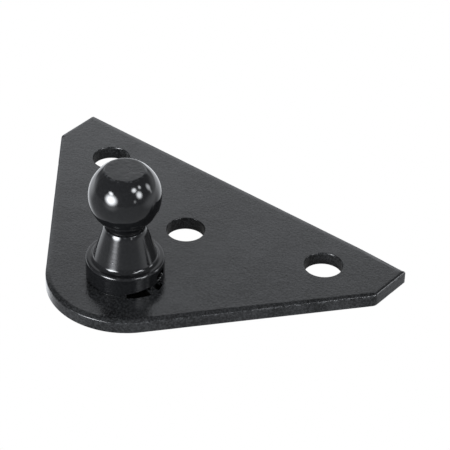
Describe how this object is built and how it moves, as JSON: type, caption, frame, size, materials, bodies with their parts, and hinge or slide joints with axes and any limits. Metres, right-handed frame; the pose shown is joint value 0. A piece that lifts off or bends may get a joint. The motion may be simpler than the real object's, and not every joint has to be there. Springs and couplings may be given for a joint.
{
  "type": "gas spring ball stud bracket",
  "caption": "Flat triangular steel mounting plate with bolt holes and a riveted ball stud, for the end socket of a gas spring.",
  "frame": {"origin": "where the stud's axis meets the plate's flat back", "axes": "+Z along the stud towards the ball, +X along the plate's long back edge, +Y from the stud towards that edge"},
  "size_m": [0.076, 0.0476, 0.0249],
  "materials": {
    "plate_black": "satin black coating on sheet steel",
    "stud_black": "gloss black coating on turned steel"
  },
  "bodies": {
    "root": {"mounting_plate": "plate_black", "ball_stud": "stud_black"}
  },
  "joints": []
}
